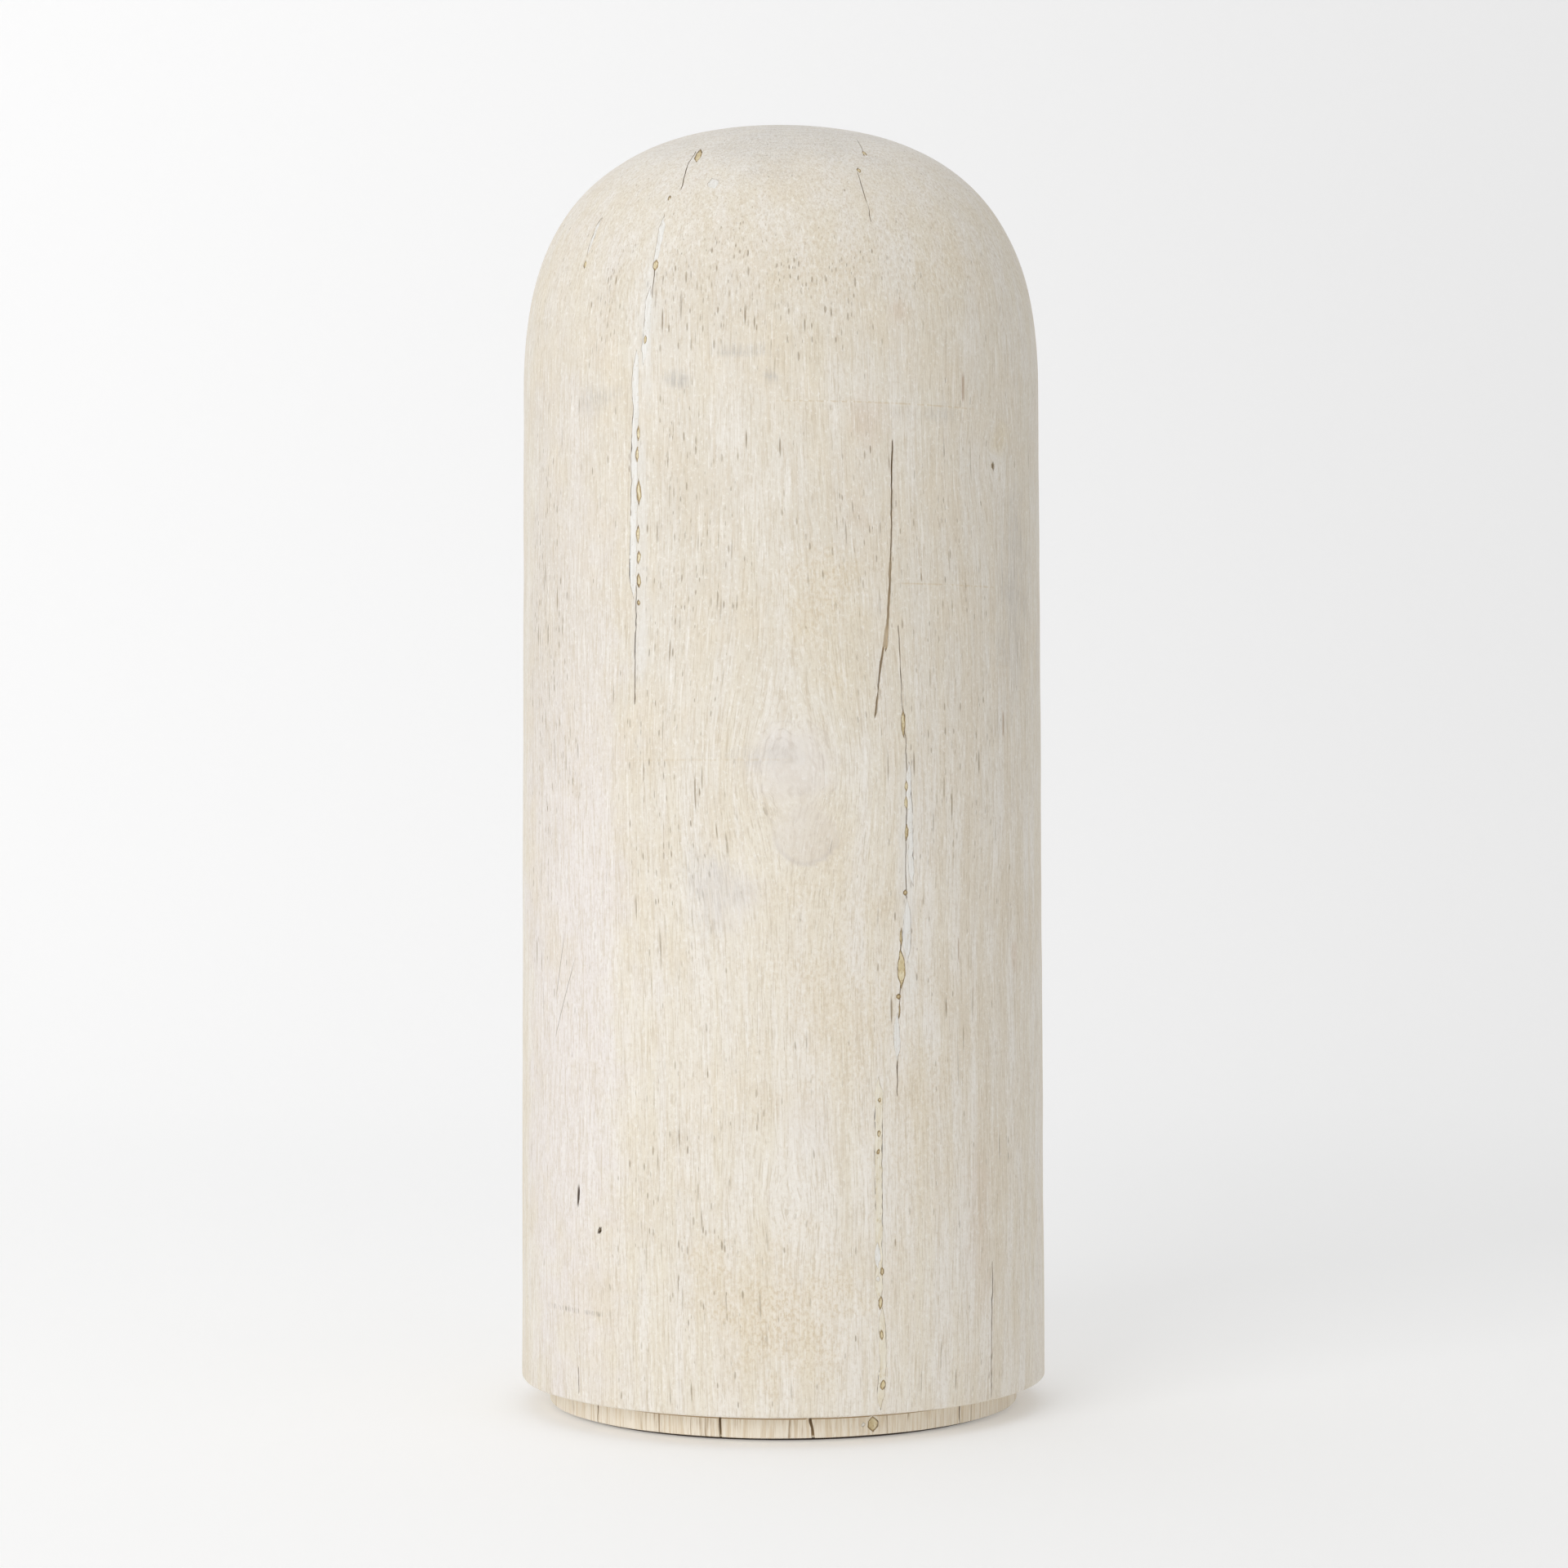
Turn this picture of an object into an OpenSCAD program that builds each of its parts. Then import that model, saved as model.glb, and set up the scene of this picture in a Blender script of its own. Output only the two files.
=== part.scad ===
// Solid-wood column ornament: one round log, turned with a domed top and a recessed foot,
// its drying checks stopped with brown glue-and-sawdust filler and white putty, on a felt disc.
// Origin: centre of the resting face. +Z up, -Y the front. Millimetres and degrees.

/* [Column] */
// Diameter of the log at the lower rim of the column
base_d = 152; // [120:1:190]
// Height of the straight side, from the lower rim to the shoulder
column_h = 277.2; // [225:0.1:340]
// How much smaller the radius is at the shoulder than at the lower rim
side_taper = 1.1; // [0:0.1:4]
// Radius of the worn lower rim
rim_edge = 1.2; // [0.4:0.1:3]

/* [Dome] */
// Height of the dome above the shoulder
dome_h = 82.5; // [65:0.5:100]
// Squareness of the dome in plan radius: 2 is a circle, more is fuller at the shoulder
shoulder_power = 2.5; // [2:0.1:3]
// Squareness of the dome in height: 2 is a circle, more is flatter at the crown
crown_power = 2.8; // [2:0.1:3.2]

/* [Foot] */
// Height of the wooden foot under the lower rim
foot_h = 6.8; // [5:0.1:12]
// Step from the side of the column in to the side of the foot
foot_rebate = 8.1; // [4:0.1:16]
// Radius of the foot's lower edge
foot_edge = 0.8; // [0.3:0.1:1.5]

/* [Felt disc] */
// Thickness of the felt disc glued under the foot
felt_t = 0.8; // [0.6:0.1:3]
// Step from the side of the foot in to the edge of the felt disc
felt_inset = 4; // [2:0.5:12]

/* [Checks and fillers] */
// Azimuth of the left check from the front, positive to the right
left_azimuth = -31.4; // [-40:0.1:-22]
// Azimuth of the short check in the right of the dome
crown_azimuth = 21; // [14:0.1:30]
// Azimuth of the right check, at the middle of the column
right_azimuth = 26; // [22:0.1:34]
// Azimuth of the lower right check, which runs down into the foot
lower_azimuth = 20.4; // [12:0.1:30]
// Azimuth of the check in the upper right that was left open
open_azimuth = 23; // [14:0.1:32]
// Azimuth of the putty streak on the left of the dome
streak_azimuth = -49.3; // [-60:0.1:-44]
// Azimuth of the putty dab on the dome
dab_azimuth = -17.4; // [-22:0.1:-8]
// Depth of the brown filler pressed into the checks
brown_depth = 4; // [2:0.5:8]
// Depth of the white putty and of the cream filler in the checks
putty_depth = 2.5; // [1:0.5:5]
// Depth of the shallow putty repairs on the dome
dab_depth = 0.8; // [0.4:0.1:2]
// Depth of the cracks that were left open: the whitewash has closed all but their mouths
crack_depth = 1.6; // [0.8:0.1:8]
// Width of the hairline part of a filled check
hairline_w = 0.3; // [0.2:0.1:0.6]

/* [Hidden] */
$fn = 360;

base_r = base_d / 2;
shoulder_r = base_r - side_taper;
foot_r = base_r - foot_rebate;
rim_z = felt_t + foot_h;
shoulder_z = rim_z + column_h;
dome_step = 3;
edge_step = 22.5;
proud = 2;
foot_mid_z = felt_t + foot_h / 2;
// Fillers in the foot stop short of its edges, and its open cracks run on past them
foot_fill_h = foot_h - 3 * foot_edge;
foot_crack_h = foot_h + 6;

// ---- The turned outline ----

// Point of the dome at angle a, from 0 at the shoulder to 90 at the crown: [radius, height]
function dome_point(a) = [
    shoulder_r * pow(cos(a), 2 / shoulder_power),
    shoulder_z + dome_h * pow(sin(a), 2 / crown_power)
];

// Heights that spots are placed at: on the dome by angle, and down from the shoulder or up from the rim
function on_dome(a) = dome_point(a)[1];
function below(drop) = shoulder_z - drop;
function above(rise) = rim_z + rise;

// Angle on the dome at a height, and the radius of the log at any height above the foot's underside
function dome_angle(z) = asin(pow((z - shoulder_z) / dome_h, crown_power / 2));
function side_r(z) =
    z < rim_z ? foot_r :
    z <= shoulder_z ? base_r - side_taper * (z - rim_z) / column_h :
    dome_point(dome_angle(z))[0];

// How far the surface faces up at a height: 0 on a plumb side, 90 at the crown
probe = 0.05;
function facing_up(z) = z < rim_z ? 0 : atan2(side_r(z - probe) - side_r(z + probe), 2 * probe);

// The log before any check opened: turned round the pith in one set-up
module blank() {
    foot_arc = [for (a = [-90 : edge_step : 0])
        [foot_r - foot_edge + foot_edge * cos(a), felt_t + foot_edge + foot_edge * sin(a)]];
    rim_arc = [for (a = [-90 : edge_step : 0])
        [base_r - rim_edge + rim_edge * cos(a), rim_z + rim_edge + rim_edge * sin(a)]];
    dome = [for (a = [0 : dome_step : 90 - dome_step]) dome_point(a)];
    rotate_extrude()
        polygon(concat([[0, felt_t]], foot_arc, [[foot_r, rim_z]], rim_arc, dome, [[0, shoulder_z + dome_h]]));
}

// ---- Checks, cracks and the fillers in them ----

// A spot is [azimuth, height, width, length, lean]: a long pointed pocket cut square to the surface.
// Fillers and the pockets that they sit in are made from the same spots. The spots of one check are
// written as [way sideways from the line of the check, height, width, length, lean].
function along(azimuth, spots) = [for (s = spots)
    [azimuth + s[0] / side_r(s[1]) * 180 / PI, s[1], s[2], s[3], len(s) > 4 ? s[4] : 0]];

module pocket(spot, depth) {
    w = spot[2];
    l = spot[3];
    lean = len(spot) > 4 ? spot[4] : 0;
    point_l = min(l / 3, 2 * w);
    rotate([0, 0, spot[0]])
        translate([0, -side_r(spot[1]), spot[1]])
            rotate([90 - facing_up(spot[1]), 0, 0])
                rotate([0, 0, lean])
                    translate([0, 0, -depth])
                        linear_extrude(depth + proud)
                            polygon([
                                [0, l / 2], [-w / 2, l / 2 - point_l], [-w / 2, point_l - l / 2],
                                [0, -l / 2], [w / 2, point_l - l / 2], [w / 2, l / 2 - point_l]
                            ]);
}

module pockets(spots, depth) {
    for (spot = spots) pocket(spot, depth);
}

module filler(spots, depth) {
    intersection() {
        blank();
        pockets(spots, depth);
    }
}

left_brown = along(left_azimuth, [
    [0, below(11), 1.3, 5], [-0.4, below(16.6), 1.3, 4.8], [0, below(27), 1.5, 7.6],
    [0, below(38.4), 1.3, 5.4], [0, below(44.7), 1.3, 4], [0, below(51), 1.3, 4.4],
    [0, below(57), 1.1, 1.8], [1.8, on_dome(5), 1.1, 2.8], [4, on_dome(17.5), 1.7, 3.6],
    [3.4, on_dome(34), 1, 2], [5.4, on_dome(49.5), 2, 8, 14]
]);
left_white = along(left_azimuth, [
    [-1.3, below(22), 2.2, 68, -1], [2.3, on_dome(7), 2.2, 22, -4], [3.7, on_dome(22.5), 1.8, 16]
]);
left_hairlines = along(left_azimuth, [
    [-0.6, below(40), hairline_w, 90, -1], [3.8, on_dome(20), hairline_w, 26],
    [4.8, on_dome(44), hairline_w, 18, 6]
]);

crown_brown = along(crown_azimuth, [[5.4, on_dome(50.5), 1.3, 3], [0.7, on_dome(42.5), 1.2, 2.4]]);
crown_hairlines = along(crown_azimuth, [
    [5.5, on_dome(54), hairline_w, 12, -12], [0, on_dome(34), hairline_w, 18]
]);

streak_white = along(streak_azimuth, [[0, on_dome(26), 1.4, 12.5, -4]]);
streak_brown = along(streak_azimuth, [[-0.5, on_dome(19.5), 1.3, 2.6]]);
dab = along(dab_azimuth, [[0, on_dome(37.5), 3.1, 4.6, 20]]);

right_brown = along(right_azimuth, [
    [0.3, above(187), 1.3, 8.4], [0.9, above(170.2), 1.2, 3.4], [0.9, above(165.6), 1.2, 4],
    [1, above(157.6), 1.3, 5], [0.5, above(141.3), 1.2, 1.8], [-0.8, above(129.4), 0.8, 5.4],
    [-1, above(120.7), 2.2, 11.5], [-1.8, above(113.2), 1.4, 1.8], [-1.4, above(109.4), 0.6, 4.6]
]);
right_white = along(right_azimuth, [
    [2.1, above(160), 1.8, 34, 2], [0.9, above(131), 2.5, 18], [-2, above(102.2), 1.9, 13.5]
]);
right_hairlines = along(right_azimuth, [
    [-0.5, above(202), hairline_w, 24, 4], [0.8, above(160), hairline_w, 60],
    [-1.6, above(108), hairline_w, 44, -2]
]);

lower_brown = along(lower_azimuth, [
    [-0.1, above(85.4), 0.9, 1.6], [-0.3, above(76.4), 1, 2.2], [-0.3, above(71.5), 0.9, 2],
    [0.5, above(39.2), 1.1, 2.6], [0.1, above(30.7), 1.4, 4], [0.5, above(22), 1.2, 3.2],
    [0.7, above(8.6), 1.5, 3.2]
]);
lower_white = along(lower_azimuth, [[-0.7, above(43.6), 1.7, 8], [-0.6, above(37.2), 1, 1.6]]);
lower_cream = along(lower_azimuth, [[-0.4, above(61), 2.2, 62], [0.4, above(15.6), 2, 28, -1.5]]);

foot_brown = along(lower_azimuth, [[0.9, foot_mid_z, 3, foot_fill_h]]);
foot_white = along(lower_azimuth, [[-2, foot_mid_z, 1.2, 1.4]]);

open_check = along(open_azimuth, [
    [0.7, below(32), 0.5, 38, -1], [-0.2, below(58), 0.8, 26, -4], [-2.7, below(76), 0.7, 26, -8]
]);
small_cracks = concat(
    along(-48.3, [[0, above(57.6), 0.6, 4.6], [0, above(6.6), 0.35, 8]]),
    along(49.7, [[0, above(20), 0.4, 38, -1.5]])
);
foot_cracks = [for (crack = [[-49.7, 0.4, 0], [-14.7, 0.7, 0], [6.5, 0.8, 10], [46.3, 0.4, 0]])
    [crack[0], foot_mid_z, crack[1], foot_crack_h, crack[2]]];
// A borer's hole low on the left and the open heart of a pin knot high on the right
small_pits = [[-42, above(48.6), 1.2, 1.6], [52.1, below(18.5), 1.5, 2.8]];
pit_depth = 3;

white_tint = [0.91, 0.90, 0.86];
brown_tint = [0.70, 0.60, 0.42];

module turned_log() {
    color([0.90, 0.87, 0.80])
        difference() {
            blank();
            pockets(concat(left_brown, crown_brown, streak_brown), brown_depth);
            pockets(concat(right_brown, lower_brown, foot_brown), brown_depth);
            pockets(concat(left_white, right_white, lower_white, lower_cream, foot_white), putty_depth);
            pockets(concat(streak_white, dab), dab_depth);
            pockets(concat(left_hairlines, crown_hairlines, right_hairlines), crack_depth);
            pockets(concat(open_check, small_cracks, foot_cracks), crack_depth);
            pockets(small_pits, pit_depth);
        }
}

module left_check_brown_filler() {
    color(brown_tint) filler(left_brown, brown_depth);
}

module left_check_white_putty() {
    color(white_tint)
        difference() {
            filler(left_white, putty_depth);
            pockets(left_brown, brown_depth);
        }
}

module crown_check_brown_filler() {
    color(brown_tint) filler(crown_brown, brown_depth);
}

module dome_putty_streak() {
    color(white_tint)
        difference() {
            filler(streak_white, dab_depth);
            pockets(streak_brown, brown_depth);
        }
}

module dome_streak_brown_filler() {
    color(brown_tint) filler(streak_brown, brown_depth);
}

module dome_putty_dab() {
    color(white_tint) filler(dab, dab_depth);
}

module right_check_brown_filler() {
    color(brown_tint) filler(right_brown, brown_depth);
}

module right_check_white_putty() {
    color(white_tint)
        difference() {
            filler(right_white, putty_depth);
            pockets(right_brown, brown_depth);
        }
}

module lower_check_brown_filler() {
    color(brown_tint) filler(lower_brown, brown_depth);
}

module lower_check_white_putty() {
    color(white_tint)
        difference() {
            filler(lower_white, putty_depth);
            pockets(lower_brown, brown_depth);
        }
}

module lower_check_cream_filler() {
    color([0.87, 0.83, 0.72])
        difference() {
            filler(lower_cream, putty_depth);
            pockets(lower_brown, brown_depth);
            pockets(lower_white, putty_depth + proud);
        }
}

module foot_check_brown_filler() {
    color(brown_tint) filler(foot_brown, brown_depth);
}

module foot_putty_chip() {
    color(white_tint)
        difference() {
            filler(foot_white, putty_depth);
            pockets(foot_brown, brown_depth);
        }
}

// Felt disc that the log stands on, glued to the underside of the foot
module felt_disc() {
    color([0.45, 0.42, 0.38]) cylinder(h = felt_t, r = foot_r - felt_inset);
}

turned_log();
left_check_brown_filler();
left_check_white_putty();
crown_check_brown_filler();
dome_putty_streak();
dome_streak_brown_filler();
dome_putty_dab();
right_check_brown_filler();
right_check_white_putty();
lower_check_brown_filler();
lower_check_white_putty();
lower_check_cream_filler();
foot_check_brown_filler();
foot_putty_chip();
felt_disc();
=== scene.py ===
# Solid-wood column ornament: a whitewashed, turned log with a domed top and a recessed foot.
# Its drying checks are stopped with brown filler, white putty and cream filler, and it stands on felt.
# Metres, +Z up, -Y the front. Azimuths are degrees from the front, positive towards +X.
import math

import bpy
import numpy as np
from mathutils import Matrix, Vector, kdtree, noise


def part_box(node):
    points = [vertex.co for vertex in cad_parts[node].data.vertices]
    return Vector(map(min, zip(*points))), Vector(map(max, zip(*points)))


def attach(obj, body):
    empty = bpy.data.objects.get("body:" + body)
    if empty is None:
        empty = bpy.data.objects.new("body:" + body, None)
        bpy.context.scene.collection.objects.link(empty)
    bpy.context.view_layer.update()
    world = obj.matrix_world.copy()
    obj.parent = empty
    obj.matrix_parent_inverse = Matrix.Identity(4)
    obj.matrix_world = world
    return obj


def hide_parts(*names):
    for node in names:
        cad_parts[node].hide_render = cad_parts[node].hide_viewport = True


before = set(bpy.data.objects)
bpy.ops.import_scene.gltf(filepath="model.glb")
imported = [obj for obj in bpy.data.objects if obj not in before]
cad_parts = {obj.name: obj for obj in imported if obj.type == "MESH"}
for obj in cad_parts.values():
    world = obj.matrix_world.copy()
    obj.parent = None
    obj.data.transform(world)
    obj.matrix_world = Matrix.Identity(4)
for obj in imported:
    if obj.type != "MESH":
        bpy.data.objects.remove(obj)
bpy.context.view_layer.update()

MM = 0.001

# ---- Sizes, from the frame and in the frame's own proportions ----

log_low, log_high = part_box("turned_log")
felt_low, felt_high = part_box("felt_disc")
BASE_R = log_high.x
TOP_Z = log_high.z
FOOT_Z = log_low.z
FOOT_R = felt_high.x + 4 * MM
FOOT_H = 6.8 * MM
FOOT_EDGE = 0.8 * MM
RIM_Z = FOOT_Z + FOOT_H
RIM_EDGE = 1.2 * MM
DOME_H = 82.5 * MM
SHOULDER_Z = TOP_Z - DOME_H
SHOULDER_R = BASE_R - 1.1 * MM
SHOULDER_POWER = 2.5
CROWN_POWER = 2.8

# The visible wood lies this far inside the CAD surface, so that the facets of the CAD mesh never show
SKIN = 0.2 * MM
ROW = 1.6 * MM
SPIN_STEPS = 288
UNDULATION = 0.35 * MM
UNDULATION_SIZE = 28 * MM

# Deeper than this in the wood there are only the walls of a filler, no longer its face
WALL_DEPTH = 0.9 * MM


# ---- Hand tools ----

def deselect_all():
    if bpy.context.object and bpy.context.object.mode != "OBJECT":
        bpy.ops.object.mode_set(mode="OBJECT")
    bpy.ops.object.select_all(action="DESELECT")


def pick(piece):
    """Make a piece the only selected and active one."""
    deselect_all()
    piece.select_set(True)
    bpy.context.view_layer.objects.active = piece


def edit(piece, select="SELECT", mode="VERT"):
    """Go into edit mode on a piece, with all of it or none of it selected."""
    pick(piece)
    bpy.ops.object.mode_set(mode="EDIT")
    bpy.ops.mesh.select_mode(type=mode)
    bpy.ops.mesh.select_all(action=select)


def leave_edit():
    bpy.ops.object.mode_set(mode="OBJECT")


def modify(piece, kind, **settings):
    """Add a modifier to a piece and apply it."""
    pick(piece)
    bpy.ops.object.modifier_add(type=kind)
    modifier = piece.modifiers[-1]
    for name, value in settings.items():
        setattr(modifier, name, value)
    bpy.ops.object.modifier_apply(modifier=modifier.name)


def duplicate(piece, name):
    """A copy of a piece with a mesh of its own."""
    copy = bpy.data.objects.new(name, piece.data.copy())
    copy.data.name = name
    bpy.context.scene.collection.objects.link(copy)
    return copy


def discard(piece):
    bpy.data.objects.remove(piece)


def points_of(piece):
    flat = np.empty(len(piece.data.vertices) * 3)
    piece.data.vertices.foreach_get("co", flat)
    return flat.reshape(-1, 3)


def place_points(piece, points):
    piece.data.vertices.foreach_set("co", np.asarray(points, float).ravel())
    piece.data.update()


# ---- The turned outline ----

def arc(centre_r, centre_z, radius, steps=6):
    """Quarter of a rounded edge in the outline, from facing down to facing out."""
    angles = [math.radians(-90 + 90 * step / steps) for step in range(steps + 1)]
    return [(centre_r + radius * math.cos(a), centre_z + radius * math.sin(a)) for a in angles]


def dome_point(angle):
    """Point of the dome, from 0 at the shoulder to 90 degrees at the crown."""
    a = math.radians(angle)
    out = SHOULDER_R * max(math.cos(a), 0.0) ** (2 / SHOULDER_POWER)
    return out, SHOULDER_Z + DOME_H * math.sin(a) ** (2 / CROWN_POWER)


def evenly(line, spacing):
    """The same line with its points about a spacing apart."""
    line = np.array(line)
    along = np.concatenate([[0], np.cumsum(np.hypot(*np.diff(line, axis=0).T))])
    stations = np.linspace(0, along[-1], max(2, round(along[-1] / spacing) + 1))
    return list(zip(np.interp(stations, along, line[:, 0]), np.interp(stations, along, line[:, 1])))


def outline():
    """Half of the log's section as (radius, height), from the middle of the underside to the crown."""
    underside = evenly([(0, FOOT_Z), (FOOT_R - FOOT_EDGE, FOOT_Z)], 10 * MM)
    foot = arc(FOOT_R - FOOT_EDGE, FOOT_Z + FOOT_EDGE, FOOT_EDGE)
    foot_side = evenly([foot[-1], (FOOT_R, RIM_Z)], ROW)
    rebate = evenly([(FOOT_R, RIM_Z), (BASE_R - RIM_EDGE, RIM_Z)], 2 * ROW)
    rim = arc(BASE_R - RIM_EDGE, RIM_Z + RIM_EDGE, RIM_EDGE)
    side = evenly([rim[-1], (SHOULDER_R, SHOULDER_Z)], ROW)
    fine_steps = 900
    dome = evenly([dome_point(90 * step / fine_steps) for step in range(fine_steps + 1)], ROW)
    line = underside + foot[1:] + foot_side[1:] + rebate[1:] + rim[1:] + side[1:] + dome[1:]
    return [Vector((r, 0, z)) for r, z in line]


def depth_in_wood(points):
    """How far points lie below the turned outline, square to it."""
    points = np.asarray(points, float)
    r = np.hypot(points[:, 0], points[:, 1])
    z = points[:, 2]
    rise = np.clip((z - SHOULDER_Z) / DOME_H, 0, None)
    full = (r / SHOULDER_R) ** SHOULDER_POWER + rise ** CROWN_POWER
    share = full ** (2 / (SHOULDER_POWER + CROWN_POWER))
    dome = (1 / np.maximum(share, 0.01) - 1) * np.hypot(r, z - SHOULDER_Z)
    slope = (BASE_R - SHOULDER_R) / (SHOULDER_Z - RIM_Z)
    side = BASE_R - slope * (z - RIM_Z) - r
    over_rebate = np.where(r > FOOT_R, np.minimum(side, z - RIM_Z), side)
    foot = np.minimum(FOOT_R - r, z - FOOT_Z)
    return np.where(z > SHOULDER_Z, dome, np.where(z < RIM_Z, foot, over_rebate))


def turn_blank():
    """The log before any check opened, turned from its outline and gently uneven as hand sanding leaves it."""
    line = outline()
    deselect_all()
    bpy.ops.mesh.primitive_plane_add(size=MM, location=(0, 0, 0))
    blank = bpy.context.object
    blank.name = "blank"
    bpy.ops.object.mode_set(mode="EDIT")
    bpy.ops.mesh.select_mode(type="VERT")
    bpy.ops.mesh.select_all(action="SELECT")
    bpy.ops.mesh.merge(type="CENTER")
    bpy.ops.transform.translate(value=line[0])
    for here, there in zip(line, line[1:]):
        bpy.ops.mesh.extrude_region_move(TRANSFORM_OT_translate={"value": there - here})
    bpy.ops.mesh.select_all(action="SELECT")
    bpy.ops.mesh.spin(steps=SPIN_STEPS, angle=2 * math.pi, center=(0, 0, 0), axis=(0, 0, 1))
    bpy.ops.mesh.select_all(action="SELECT")
    bpy.ops.mesh.remove_doubles(threshold=0.01 * MM)
    bpy.ops.mesh.normals_make_consistent(inside=False)
    bpy.ops.transform.shrink_fatten(value=-SKIN)
    leave_edit()
    unevenness = bpy.data.textures.new("unevenness", "CLOUDS")
    unevenness.noise_scale = UNDULATION_SIZE
    unevenness.noise_depth = 1
    modify(blank, "DISPLACE", texture=unevenness, texture_coords="LOCAL", mid_level=1, strength=UNDULATION)
    return blank


# ---- Checks and their fillers, cut from the CAD pieces ----

def closed_copy(node, name):
    """A copy of a CAD node as one closed skin."""
    copy = duplicate(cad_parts[node], name)
    edit(copy)
    bpy.ops.mesh.customdata_custom_splitnormals_clear()
    bpy.ops.mesh.remove_doubles(threshold=0.001 * MM)
    leave_edit()
    return copy


def make_ragged(piece):
    """Turn each point a little about the log's axis, as far as torn wood wanders from a straight line there."""
    points = points_of(piece)
    for point in points:
        x, y, z = point
        slow = noise.noise(Vector(point) / (9 * MM))
        quick = noise.noise(Vector((y, x, z)) / (2 * MM))
        angle = (0.5 * slow + 0.3 * quick) * MM / max(math.hypot(x, y), 10 * MM)
        point[0] = x * math.cos(angle) - y * math.sin(angle)
        point[1] = x * math.sin(angle) + y * math.cos(angle)
    place_points(piece, points)


def keep_inside(piece, shape):
    """Cut away whatever of a piece lies outside another shape, and discard that shape."""
    modify(piece, "BOOLEAN", operation="INTERSECT", solver="MANIFOLD", object=shape)
    discard(shape)


def make_log(blank):
    log = duplicate(blank, "log_whitewashed")
    keep_inside(log, closed_copy("turned_log", "log_shape"))
    store(log, "depth_mm", depth_in_wood(points_of(log)) / MM)
    paint_marks(log)
    make_ragged(log)
    pick(log)
    bpy.ops.object.shade_smooth_by_angle(angle=math.radians(35))
    return log


def store(piece, name, values, kind="FLOAT"):
    """Keep a number or a vector for each point of a piece, for its finish to read."""
    layer = piece.data.attributes.new(name, kind, "POINT")
    field = "vector" if kind == "FLOAT_VECTOR" else "value"
    layer.data.foreach_set(field, np.asarray(values, np.float32).ravel())


# Knots as (azimuth, height, radius of the eye, how tall its eye is for its width), in degrees and millimetres
KNOTS = [
    (2, 180, 14, 1.3), (1, 66, 3.5, 1.4), (53, 268, 7, 1.5), (59.4, 132, 5, 2),
    (143, 210, 12, 1.4), (-128, 95, 9, 1.5),
]

# Marks on the log, each a list of spots: azimuth, height, half its width, half its height, softness, strength
MARKS = {
    "left_wash": [(-55, 150, 34, 200, 0.5, 1)],
    "right_wash": [(50, 150, 32, 190, 0.6, 1)],
    "warm": [
        (0, 38, 30, 26, 0.9, 1), (7, 229, 16, 24, 0.9, 0.8), (12, 120, 28, 45, 1, 0.5), (4, 322, 30, 22, 0.9, 0.35),
        (38, 318, 16, 24, 0.9, 0.4), (30, 95, 20, 40, 1, 0.4), (160, 280, 40, 55, 0.9, 0.7), (-150, 150, 34, 70, 0.9, 0.7),
    ],
    "dense": [
        (-19, 255, 20, 40, 0.8, 1), (-62, 215, 20, 110, 0.8, 0.8), (-10, 312, 48, 26, 0.9, 0.9),
        (-25, 170, 26, 60, 0.9, 0.55), (-20, 60, 30, 60, 1, 0.6), (10, 250, 22, 34, 0.9, 0.5), (35, 190, 26, 100, 1, 0.5),
        (170, 200, 60, 120, 0.9, 0.7), (110, 120, 30, 90, 0.9, 0.6), (-115, 230, 34, 80, 0.9, 0.6),
    ],
    # Grey smudges, and one spot of painted shade: the band across the front of the dome near its top, at 355 mm up
    "smudge_and_shade": [
        (-9, 295, 13, 2.2, 0.8, 1), (-22, 288, 6, 3.2, 0.8, 1), (-2, 288, 3, 2.6, 0.8, 1), (-41, 284.5, 13, 6, 0.8, 0.7),
        (-6, 186, 16, 4, 0.9, 0.35), (-16, 150, 12, 18, 0.9, 0.45), (60, 230, 14, 40, 1, 0.6), (150, 60, 24, 8, 0.9, 0.7),
        (34, 279, 16, 4, 0.8, 0.5), (0, 355, 40, 14, 0.9, 0.5),
    ],
    "reddish": [
        (25.4, 307, 6, 5, 0.9, 1), (59.4, 132, 2.4, 7, 0.8, 1), (17, 276, 9, 10, 0.9, 0.6), (16, 252, 5, 10, 0.9, 0.4),
        (46, 60, 7, 34, 1, 0.45), (-165, 250, 12, 20, 0.9, 0.6),
    ],
    "yellow": [(54.3, 274, 7, 7, 0.9, 1), (3, 300, 30, 24, 1, 0.35), (12, 215, 16, 26, 1, 0.4), (130, 320, 24, 20, 1, 0.5)],
    "haze": [(2, 183, 15, 14, 0.7, 1), (-12, 148, 12, 14, 0.9, 0.8), (6, 86, 10, 14, 0.9, 0.5)],
    "heart": [(4.5, 165, 9.5, 9, 0.3, 1)],
    "smear": [(-31, 240, 3.6, 60, 0.8, 1), (-29.5, 305, 3.4, 42, 0.8, 1), (26.8, 150, 3.4, 50, 0.8, 1), (21, 60, 2.6, 50, 0.8, 0.6)],
}


def soft_step(value, start, end):
    share = np.clip((value - start) / (end - start), 0, 1)
    return share * share * (3 - 2 * share)


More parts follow.
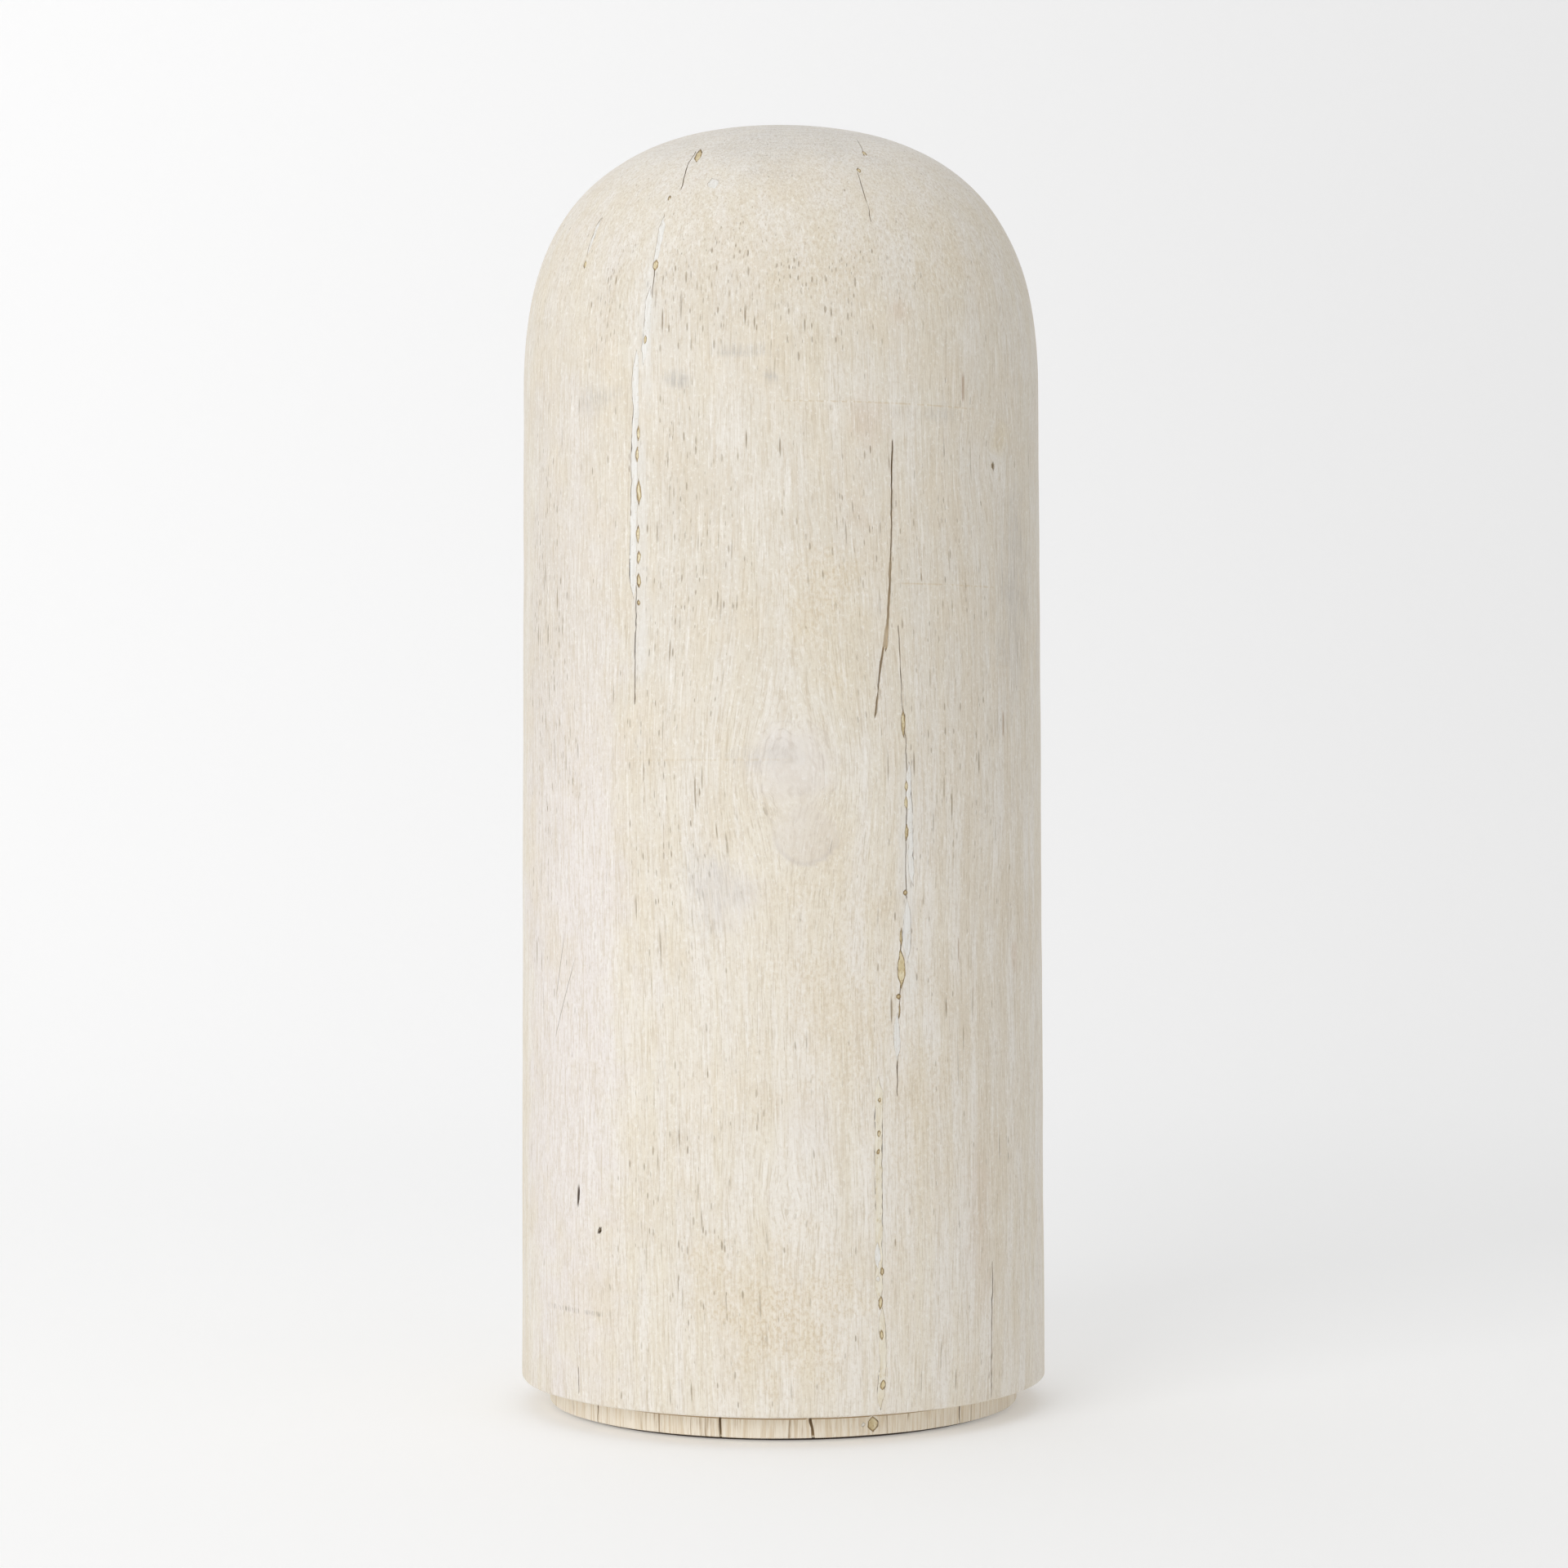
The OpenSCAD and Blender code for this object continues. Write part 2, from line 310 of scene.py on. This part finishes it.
def paint_marks(log):
    """Paint the wash, the bare patches and the flow of the grain on to the log's points."""
    points = points_of(log) / MM
    wander = np.array([noise.noise(Vector(p) / 13) + 0.6 * noise.noise(Vector(p) / 4.5) for p in points])

    def toward(azimuth):
        a = math.radians(azimuth)
        sideways = points @ np.array((math.cos(a), math.sin(a), 0))
        front = soft_step(points @ np.array((math.sin(a), -math.cos(a), 0)), 0, 20)
        return sideways, front

    for name, spots in MARKS.items():
        painted = np.zeros(len(points))
        for azimuth, height, half_wide, half_high, soft, strength in spots:
            sideways, front = toward(azimuth)
            far = np.hypot(sideways / half_wide, (points[:, 2] - height) / half_high) + 0.55 * wander * soft
            painted = np.maximum(painted, strength * front * soft_step(far, 1, 1 - soft))
        store(log, name, painted)

    shift = np.array([noise.noise_vector(Vector((p[0] / 45, p[1] / 45, p[2] / 120))) for p in points]) * (4, 4, 0)
    for azimuth, height, eye, tall in KNOTS:
        sideways, front = toward(azimuth)
        up = (points[:, 2] - height) / tall
        pull = eye ** 2 / (sideways ** 2 + up ** 2 + 1.15 * eye ** 2) * front * sideways
        a = math.radians(azimuth)
        shift -= pull[:, None] * np.array((math.cos(a), math.sin(a), 0))
    store(log, "grain_shift", shift, "FLOAT_VECTOR")
    sideways, front = toward(KNOTS[0][0])
    up = (points[:, 2] - KNOTS[0][1]) / 1.15
    store(log, "knot_ring", np.hypot(sideways, up) + 5 * wander + 60 * (1 - front))


def from_walls(filler):
    """How many millimetres each point of a filler lies from the walls of its check."""
    points = points_of(filler)
    depth = depth_in_wood(points)
    below = min(WALL_DEPTH, 0.6 * depth.max())
    buried = points[depth > below]
    walls = kdtree.KDTree(len(buried))
    for index, point in enumerate(buried):
        walls.insert(point, index)
    walls.balance()
    far = np.array([walls.find(point)[2] for point in points])
    return np.sqrt(np.clip(far ** 2 - (below / 2) ** 2, 0, None)) / MM


def make_filler(blank, node, name, sunk, grain, lump, lump_size, shrunk):
    """A filler pressed into its checks: it lies below the wood's skin by how far it sank as it dried."""
    filler = duplicate(blank, name)
    edit(filler)
    bpy.ops.transform.shrink_fatten(value=-sunk)
    leave_edit()
    keep_inside(filler, closed_copy(node, name + "_shape"))
    modify(filler, "REMESH", mode="VOXEL", voxel_size=grain)
    modify(filler, "SMOOTH", factor=0.5, iterations=2)
    lumps = bpy.data.textures.new(name + "_lumps", "CLOUDS")
    lumps.noise_scale = lump_size
    modify(filler, "DISPLACE", texture=lumps, texture_coords="LOCAL", mid_level=shrunk, strength=lump)
    store(filler, "depth_mm", depth_in_wood(points_of(filler)) / MM)
    store(filler, "edge_mm", from_walls(filler))
    make_ragged(filler)
    pick(filler)
    bpy.ops.object.shade_smooth()
    return filler


def finish_piece(piece, node, material):
    piece.data.materials.clear()
    piece.data.materials.append(material)
    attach(piece, "root")
    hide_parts(node)


def make_felt():
    """A die-cut felt disc, its edge soft and a little fuzzy."""
    deselect_all()
    radius, thick = felt_high.x, felt_high.z - felt_low.z
    bpy.ops.mesh.primitive_circle_add(
        vertices=240, radius=radius, fill_type="NGON", location=(0, 0, felt_low.z))
    felt = bpy.context.object
    felt.name = "felt_pad"
    bpy.ops.object.mode_set(mode="EDIT")
    bpy.ops.mesh.select_mode(type="FACE")
    bpy.ops.mesh.select_all(action="SELECT")
    for width in (0.4 * MM, 4 * MM, 20 * MM):
        bpy.ops.mesh.inset(thickness=width)
    bpy.ops.mesh.select_all(action="SELECT")
    bpy.ops.mesh.extrude_region_move(TRANSFORM_OT_translate={"value": (0, 0, thick + SKIN)})
    bpy.ops.mesh.select_all(action="SELECT")
    bpy.ops.mesh.normals_make_consistent(inside=False)
    leave_edit()
    bpy.ops.object.transform_apply(location=True, rotation=True, scale=True)
    modify(felt, "BEVEL", width=0.25 * MM, segments=2, limit_method="ANGLE", angle_limit=math.radians(60))
    points = points_of(felt)
    for point in points:
        if math.hypot(point[0], point[1]) > radius - MM:
            point[:2] *= 1 - 0.35 * MM * abs(noise.noise(Vector(point) / MM)) / radius
    place_points(felt, points)
    return felt, radius


# ---- Finishes ----

def linear(level):
    """A colour level from 0 to 255 as the light that it stands for."""
    level = level / 255
    return level / 12.92 if level <= 0.04045 else ((level + 0.055) / 1.055) ** 2.4


def tint(red, green, blue):
    return linear(red), linear(green), linear(blue), 1


class Wire:
    """An output of a finish's nodes, with which sums are written as plain expressions."""

    def __init__(self, finish, socket):
        self.finish = finish
        self.socket = socket

    def out(self, name):
        """Another output of the same node."""
        return Wire(self.finish, self.socket.node.outputs[name])

    def sum(self, operation, first, second):
        terms = [term.socket.type for term in (first, second) if isinstance(term, Wire)]
        kind = "ShaderNodeVectorMath" if "VECTOR" in terms else "ShaderNodeMath"
        return self.finish.node(kind, {"operation": operation}, first, second)

    def __add__(self, other):
        return self.sum("ADD", self, other)

    def __radd__(self, other):
        return self.sum("ADD", other, self)

    def __sub__(self, other):
        return self.sum("SUBTRACT", self, other)

    def __rsub__(self, other):
        return self.sum("SUBTRACT", other, self)

    def __mul__(self, other):
        return self.sum("MULTIPLY", self, other)

    def __rmul__(self, other):
        return self.sum("MULTIPLY", other, self)

    def __truediv__(self, other):
        return self.sum("DIVIDE", self, other)

    def __rtruediv__(self, other):
        return self.sum("DIVIDE", other, self)

    def __pow__(self, other):
        return self.sum("POWER", self, other)


class Finish:
    """A material in the making. Places are in millimetres in the object's own frame."""

    def __init__(self, name):
        self.material = bpy.data.materials.new(name)
        self.material.use_nodes = True
        self.tree = self.material.node_tree
        self.shader = self.tree.nodes["Principled BSDF"]
        self.place = self.node("ShaderNodeTexCoord").out("Object") * (1 / MM)
        axes = self.node("ShaderNodeSeparateXYZ", {}, self.place)
        self.height = axes.out("Z")
        self.azimuth = self.node("ShaderNodeMath", {"operation": "ARCTAN2"}, axes, -1 * axes.out("Y"))
        self.azimuth = self.azimuth * (180 / math.pi)

    def node(self, kind, settings=None, *values, **named):
        """Add a node: first its settings, then what goes into its sockets in order or by name."""
        node = self.tree.nodes.new(kind)
        for name, setting in (settings or {}).items():
            setattr(node, name, setting)
        sockets = [socket for socket in node.inputs if socket.enabled]
        for socket, value in [*zip(sockets, values), *((node.inputs[key], named[key]) for key in named)]:
            if isinstance(value, Wire):
                self.tree.links.new(value.socket, socket)
            elif socket.type == "VECTOR" and isinstance(value, (int, float)):
                socket.default_value = (value, value, value)
            else:
                socket.default_value = value
        return Wire(self, next(socket for socket in node.outputs if socket.enabled))

    def mix(self, share, first, second):
        return self.node("ShaderNodeMix", {"data_type": "RGBA"}, share, first, second)

    def ease(self, value, start, end):
        """0 before start, 1 after end, and a soft step between them."""
        return self.node("ShaderNodeMapRange", {"interpolation_type": "SMOOTHSTEP"}, value, start, end, 0, 1)

    def band(self, value, low, high, soft):
        return self.ease(value, low - soft, low + soft) * self.ease(value, high + soft, high - soft)

    def larger(self, first, second):
        return self.node("ShaderNodeMath", {"operation": "MAXIMUM"}, first, second)

    def smaller(self, first, second):
        return self.node("ShaderNodeMath", {"operation": "MINIMUM"}, first, second)

    def cloud(self, place, wide, high, detail=3, roughness=0.5, distortion=0):
        """Soft noise from 0 to 1 whose lumps are so many millimetres wide and high."""
        scaled = place * (1 / wide, 1 / wide, 1 / high)
        return self.node("ShaderNodeTexNoise", {}, Vector=scaled, Scale=1, Detail=detail,
                         Roughness=roughness, Distortion=distortion)

    def cells(self, place, wide, high, jitter=1):
        """Distance from the middle of scattered cells; its Color output is each cell's own lot."""
        scaled = place * (1 / wide, 1 / wide, 1 / high)
        return self.node("ShaderNodeTexVoronoi", {}, Vector=scaled, Scale=1, Randomness=jitter)

    def painted(self, name):
        """What was painted on the piece's points under a name."""
        return self.node("ShaderNodeAttribute", {"attribute_name": name}).out("Fac")

    def stroke(self, azimuth, height, wide, high, lean=0):
        """1 on a short mark with soft ends, leaning over by so many millimetres along its height."""
        up = self.height - height
        across = (self.azimuth - azimuth) * (math.pi / 180 * BASE_R / MM) - up * (lean / high)
        return self.band(across, -wide / 2, wide / 2, 0.12) * self.band(up, -high / 2, high / 2, high / 6)

    def done(self, colour, roughness, relief, coat=0.0):
        """Join up the shader: relief is the height of the surface in millimetres."""
        bump = self.node("ShaderNodeBump", {}, Strength=1.0, Distance=MM, Height=relief)
        for name, value in (("Base Color", colour), ("Roughness", roughness), ("Normal", bump)):
            if isinstance(value, Wire):
                self.tree.links.new(value.socket, self.shader.inputs[name])
            else:
                self.shader.inputs[name].default_value = value
        self.shader.inputs["Specular IOR Level"].default_value = 0.3
        return self.material


def wood_finish():
    finish = Finish("whitewashed_wood_finish")
    place, height, azimuth = finish.place, finish.height, finish.azimuth

    # The grain runs up the log and flows round the knots
    grain = place + finish.node("ShaderNodeAttribute", {"attribute_name": "grain_shift"}).out("Vector")
    bands = finish.cloud(grain, 5, 120, 2, 0.55)
    fibre = finish.cloud(grain, 0.8, 17, 3, 0.65)
    hairs = finish.cloud(grain, 0.33, 6, 2, 0.6)
    mottle = finish.cloud(place, 17, 26, 4, 0.6)
    fleck = finish.cloud(place, 0.8, 1.15, 2, 0.6)
    left_wash, warm, dense = finish.painted("left_wash"), finish.painted("warm"), finish.painted("dense")

    # Colour of the wash itself, thick in places and sanded through in others; also darker over the upper body, about
    # 190 to 330 mm up
    colour = finish.mix(finish.ease(bands, 0.36, 0.64), tint(231, 223, 207), tint(235, 229, 219))
    colour = finish.mix(left_wash * 0.8, colour, tint(233, 226, 223))
    colour = finish.mix(finish.band(height, 190, 330, 40) * 0.45, colour, tint(217, 210, 196))
    colour = finish.mix(finish.ease(mottle, 0.45, 0.7) * 0.5, colour, tint(226, 214, 193))
    colour = finish.mix(finish.ease(mottle, 0.46, 0.3) * 0.35, colour, tint(238, 234, 228))
    colour = finish.mix(finish.painted("right_wash") * finish.ease(bands, 0.6, 0.4) * 0.5, colour, tint(223, 212, 195))
    colour = finish.mix(finish.painted("yellow") * 0.5, colour, tint(224, 210, 178))
    colour = finish.mix(finish.painted("reddish") * 0.5, colour, tint(208, 182, 158))
    # Lighter and greyer towards the crown
    crown = finish.ease(height, 334, 366)
    colour = finish.mix(crown * 0.8, colour, tint(235, 232, 227))

    colour = finish.mix(dense * 0.22, colour, tint(206, 197, 182))

    # Fibres that show through it
    colour = finish.mix(finish.ease(fibre, 0.5, 0.68) * 0.5, colour, tint(211, 198, 177))
    colour = finish.mix(finish.ease(fibre, 0.46, 0.3) * 0.5, colour, tint(246, 242, 235))
    colour = finish.mix(finish.ease(hairs, 0.52, 0.68) * 0.5, colour, tint(198, 184, 162))
    colour = finish.mix(finish.ease(fleck, 0.52, 0.72) * 0.35, colour, tint(206, 193, 172))
    colour = finish.mix(finish.ease(fleck, 0.44, 0.28) * 0.4, colour, tint(247, 244, 238))

    # Growth rings round the pith, where the crown cuts across them
    pith = finish.node("ShaderNodeVectorMath", {"operation": "LENGTH"}, grain * (1, 1, 0))
    rings = finish.node("ShaderNodeMath", {"operation": "SINE"}, pith * 2.2 + mottle * 8)
    rings = finish.ease(rings, 0.2, 1) * finish.ease(fleck, 0.35, 0.6)
    colour = finish.mix(crown * rings * 0.3, colour, tint(204, 193, 178))

    # Warm bare patches, grainy where the sander skipped
    grains = finish.ease(fleck, 0.44, 0.66)
    colour = finish.mix(warm * 0.28, colour, tint(230, 215, 188))
    colour = finish.mix(warm * grains * 0.42, colour, tint(206, 186, 152))

    # Open pores: short strokes on the side, and dots where the dome cuts them across
    amount = 0.14 + dense * 0.9 + (mottle - 0.5) * 0.5 + (bands - 0.5) * 0.5
    pores = 0
    for wide, high, reach, share in ((0.85, 4.2, 0.26, 0.85), (1.2, 17, 0.2, 1.0), (2.3, 46, 0.12, 0.9)):
        cell = finish.cells(grain, wide, high)
        lot = finish.node("ShaderNodeSeparateColor", {}, cell.out("Color"))
        there = finish.ease(amount - lot.out("Red"), -0.05, 0.2)
        size = reach * (0.5 + lot.out("Green") * 0.9)
        pore = finish.ease(cell / size, 1.1, 0.5) * there * (0.35 + lot.out("Blue") * 0.65) * share
        pores = finish.larger(pores, pore)
    pores = pores * finish.ease(hairs, 0.25, 0.5)
    colour = finish.mix(pores * 0.85, colour, tint(146, 128, 102))

    # The knot: broken greyish arcs round a paler haze, and its heart below
    ring = finish.painted("knot_ring")
    swirl = finish.node("ShaderNodeMath", {"operation": "SINE"}, ring * 1.7 + mottle * 16)
    arcs = finish.ease(ring, 19, 8) * finish.ease(ring, 2, 7) * finish.ease(swirl, 0.55, 1) * finish.ease(fibre, 0.42, 0.6)
    colour = finish.mix(finish.painted("haze") * 0.45, colour, tint(228, 222, 219))
    colour = finish.mix(arcs * 0.24, colour, tint(176, 162, 150))
    heart = finish.painted("heart")
    heart_rim = finish.ease(heart, 0.05, 0.5) * finish.ease(heart, 0.95, 0.5) * finish.ease(height, 169, 158)
    colour = finish.mix(heart * 0.42, colour, tint(221, 212, 202))
    colour = finish.mix(heart_rim * 0.3, colour, tint(190, 180, 174))

    # Grey smudges and painted shade across the front of the dome near its top, lathe lines and small marks
    colour = finish.mix(finish.painted("smudge_and_shade") * finish.ease(hairs, 0.3, 0.6) * 0.62, colour, tint(184, 180, 175))
    upper_line = finish.band(height, 281.2, 281.6, 0.15) * finish.band(azimuth, 0, 44, 3)
    lower_line = finish.band(height, 232.5, 232.9, 0.15) * finish.band(azimuth, 26, 51, 4)
    faint_line = finish.band(height, 184.7, 185.2, 0.2) * finish.band(azimuth, -34, 0, 4) * 0.5
    scribed = finish.larger(finish.larger(upper_line, lower_line), faint_line) * finish.ease(fleck, 0.35, 0.6)
    colour = finish.mix(scribed * 0.5, colour, tint(206, 186, 150))
    nick = finish.ease(hairs, 0.5, 0.6) * finish.band(height, 32.6, 33.8, 0.4) * finish.band(azimuth, -60, -41, 2)
    colour = finish.mix(nick * 0.6, colour, tint(130, 118, 104))
    hair = finish.larger(finish.stroke(-53.6, 118.7, 0.3, 20, 9), finish.stroke(-55.2, 128, 0.25, 16, 4))
    colour = finish.mix(hair * 0.6, colour, tint(120, 106, 92))
    dash = finish.larger(finish.stroke(55.3, 195, 0.7, 6), finish.stroke(39.9, 133, 0.4, 6))
    dash = finish.larger(dash, finish.stroke(42, 287, 1.0, 7))
    colour = finish.mix(dash * 0.55, colour, tint(160, 124, 88))
    colour = finish.mix(finish.painted("smear") * 0.4, colour, tint(232, 231, 228))

    # The foot was left barer: yellower, with a few dark fibres
    foot = finish.ease(height, RIM_Z / MM + 0.3, RIM_Z / MM - 0.3)
    bare = finish.mix(finish.ease(fibre, 0.4, 0.66), tint(244, 236, 221), tint(226, 211, 186))
    bare = finish.mix(finish.ease(hairs, 0.54, 0.7) * 0.3, bare, tint(184, 162, 132))
    bare = finish.mix(finish.ease(bands, 0.56, 0.66) * finish.ease(fibre, 0.5, 0.62) * 0.6, bare, tint(140, 112, 82))
    colour = finish.mix(foot * 0.95, colour, bare)

    # Walls of the open checks
    wall = finish.mix(finish.ease(mottle, 0.4, 0.6), tint(208, 188, 154), tint(230, 217, 194))
    wall = finish.mix(foot, wall, tint(176, 152, 118))
    colour = finish.mix(finish.ease(finish.painted("depth_mm"), 0.6, 1.3), colour, wall)
    # Painted shade: near-black strokes on the slit and on a short mark beside it, standing in for the dark inside them
    painted_slit_shade = finish.larger(finish.stroke(-48.4, 65, 0.9, 5.5, 0.4), finish.stroke(-41.8, 56.2, 1.1, 1.8, 0.6))
    colour = finish.mix(painted_slit_shade * 0.85, colour, tint(84, 70, 54))

    relief = hairs * 0.07 + fibre * 0.03 - pores * 0.12 + fleck * (0.07 + warm * 0.07)
    return finish.done(colour, 0.66 - left_wash * 0.05 + warm * 0.08, relief)


def brown_finish():
    finish = Finish("brown_filler_finish")
    dust = finish.cloud(finish.place, 0.5, 0.8, 4, 0.6)
    lumps = finish.cloud(finish.place, 1.6, 3, 2)
    edge = finish.painted("edge_mm") + (lumps - 0.5) * 0.3
    colour = finish.mix(finish.ease(lumps, 0.35, 0.65), tint(212, 196, 156), tint(232, 221, 190))
    colour = finish.mix(finish.ease(dust, 0.52, 0.7) * 0.5, colour, tint(166, 138, 94))
    # Partly painted shade: the darker brown rim where the filler meets the check walls is partly the bead's own edge
    # and partly painted shade of the gap there
    colour = finish.mix(finish.ease(edge, 0.34, 0.06) * 0.75, colour, tint(150, 124, 84))
    # Painted shade: the filler's sides deep in the check are painted dark brown, standing in for the shade down the
    # gap
    colour = finish.mix(finish.ease(finish.painted("depth_mm"), 0.75, 1.25), colour, tint(112, 86, 52))
    return finish.done(colour, 0.72, dust * 0.12)


def putty_finish():
    finish = Finish("white_putty_finish")
    drag = finish.cloud(finish.place, 0.5, 6, 3)
    specks = finish.cloud(finish.place, 0.7, 0.9, 3)
    edge = finish.painted("edge_mm") + (specks - 0.5) * 0.6
    colour = finish.mix(finish.ease(drag, 0.35, 0.65), tint(226, 223, 216), tint(236, 234, 229))
    colour = finish.mix(finish.ease(specks, 0.56, 0.7) * 0.45, colour, tint(208, 198, 180))
    colour = finish.mix(finish.ease(edge, 0.4, 0.05) * 0.6, colour, tint(222, 214, 202))
    return finish.done(colour, 0.5, drag * 0.05 + specks * 0.04)


def cream_filler_finish():
    finish = Finish("cream_filler_finish")
    drag = finish.cloud(finish.place, 0.5, 5, 3)
    specks = finish.cloud(finish.place, 0.8, 1.4, 3, 0.6)
    edge = finish.painted("edge_mm") + (specks - 0.5) * 0.6
    colour = finish.mix(finish.ease(drag, 0.3, 0.7), tint(224, 214, 192), tint(236, 230, 215))
    colour = finish.mix(finish.ease(specks, 0.56, 0.7) * 0.5, colour, tint(196, 178, 138))
    colour = finish.mix(finish.ease(edge, 0.35, 0.05) * 0.35, colour, tint(204, 190, 160))
    return finish.done(colour, 0.62, drag * 0.06 + specks * 0.06)


def felt_finish():
    finish = Finish("felt_finish")
    hairs = finish.cloud(finish.place, 0.25, 0.25, 4, 0.7, 1.5)
    patches = finish.cloud(finish.place, 3, 3, 3)
    colour = finish.mix(hairs, tint(62, 52, 48), tint(96, 84, 76))
    colour = finish.mix(patches * 0.3, colour, tint(54, 46, 44))
    return finish.done(colour, 0.95, hairs * 0.15)


def stage_finish():
    """Matt white paper, lit from behind as a light table is, and a little more so on the left and at the back."""
    finish = Finish("stage_paper")
    across = finish.node("ShaderNodeSeparateXYZ", {}, finish.place)
    side = finish.ease(across, -1100, 1100)
    back = finish.ease(across.out("Y"), 300, 1500)
    floor_glow = finish.mix(side, (0.275, 0.275, 0.275, 1), (0.1, 0.1, 0.1, 1))
    back_glow = finish.mix(side, (0.535, 0.535, 0.535, 1), (0.375, 0.375, 0.375, 1))
    glow = finish.mix(back, floor_glow, back_glow)
    finish.tree.links.new(glow.socket, finish.shader.inputs["Emission Color"])
    finish.shader.inputs["Emission Strength"].default_value = 1
    paper = finish.mix(back, (0.85, 0.85, 0.85, 1), (0.56, 0.56, 0.56, 1))
    return finish.done(paper, 0.9, finish.cloud(finish.place, 2, 2) * 0.01)


# ---- Stage, light and camera ----

def make_camera():
    data = bpy.data.cameras.new("camera")
    data.lens = 79.47
    data.sensor_width = 36
    camera = bpy.data.objects.new("camera", data)
    camera.location = (0, -1.0048, 0.1784)
    camera.rotation_euler = (math.radians(90), math.radians(0.134), math.radians(-0.033))
    bpy.context.scene.collection.objects.link(camera)
    bpy.context.scene.camera = camera


def make_stage():
    deselect_all()
    bpy.ops.mesh.primitive_plane_add(size=12, location=(0, -4, 0))
    sweep = bpy.context.object
    sweep.name = "sweep"
    bpy.ops.object.transform_apply(location=True, rotation=True, scale=True)
    edit(sweep, "DESELECT", "EDGE")
    leave_edit()
    for edge in sweep.data.edges:
        edge.select = all(sweep.data.vertices[i].co.y > 0 for i in edge.vertices)
    bpy.ops.object.mode_set(mode="EDIT")
    bpy.ops.mesh.extrude_region_move(TRANSFORM_OT_translate={"value": (0, 0, 4)})
    leave_edit()
    modify(sweep, "BEVEL", width=1.1, segments=24, limit_method="ANGLE")
    pick(sweep)
    bpy.ops.object.shade_smooth()
    sweep.data.materials.append(stage_finish())


def soft_light(name, place, aim, size, watts):
    data = bpy.data.lights.new(name, "AREA")
    data.shape = "RECTANGLE"
    data.size, data.size_y = size
    data.energy = watts
    light = bpy.data.objects.new(name, data)
    light.location = place
    light.rotation_euler = (Vector(aim) - Vector(place)).to_track_quat("-Z", "Y").to_euler()
    bpy.context.scene.collection.objects.link(light)


def make_world(strength):
    world = bpy.data.worlds.new("studio")
    world.use_nodes = True
    world.node_tree.nodes["Background"].inputs["Color"].default_value = (1, 1, 1, 1)
    world.node_tree.nodes["Background"].inputs["Strength"].default_value = strength
    bpy.context.scene.world = world


make_camera()
bpy.context.scene.view_settings.view_transform = "Standard"
make_world(0.56)
soft_light("key_left", (-1.3, -2.1, 1.0), (0, 0, 0.18), (1.6, 1.6), 25)
soft_light("top", (0.1, -0.15, 1.6), (0, 0, 0.3), (1.2, 1.2), 1.9)
make_stage()

wood = wood_finish()
brown = brown_finish()
white = putty_finish()
cream = cream_filler_finish()
felt_cloth = felt_finish()

blank = turn_blank()
log = make_log(blank)
finish_piece(log, "turned_log", wood)

FILLERS = {
    "left_check_brown_filler": ("brown_filler", brown),
    "crown_check_brown_filler": ("brown_filler", brown),
    "dome_streak_brown_filler": ("brown_filler", brown),
    "right_check_brown_filler": ("brown_filler", brown),
    "lower_check_brown_filler": ("brown_filler", brown),
    "foot_check_brown_filler": ("brown_filler", brown),
    "left_check_white_putty": ("white_putty", white),
    "dome_putty_streak": ("white_putty", white),
    "dome_putty_dab": ("white_putty", white),
    "right_check_white_putty": ("white_putty", white),
    "lower_check_white_putty": ("white_putty", white),
    "foot_putty_chip": ("white_putty", white),
    "lower_check_cream_filler": ("cream_filler", cream),
}
# How each filler lies in its checks: how far it sank, its grain, its lumps and their size, and how far it shrank
PRESSED = {
    "brown_filler": (0.16 * MM, 0.16 * MM, 0.24 * MM, 1.2 * MM, 0.6),
    "white_putty": (0.06 * MM, 0.2 * MM, 0.1 * MM, 1.5 * MM, 0.1),
    "cream_filler": (0.06 * MM, 0.22 * MM, 0.12 * MM, 1.5 * MM, 0.1),
}
for node, (slot, material) in FILLERS.items():
    name = node.replace("_filler", "_beads") if slot == "brown_filler" else node + "_fill"
    filler = make_filler(blank, node, name, *PRESSED[slot])
    finish_piece(filler, node, material)
discard(blank)

felt, felt_r = make_felt()
finish_piece(felt, "felt_disc", felt_cloth)
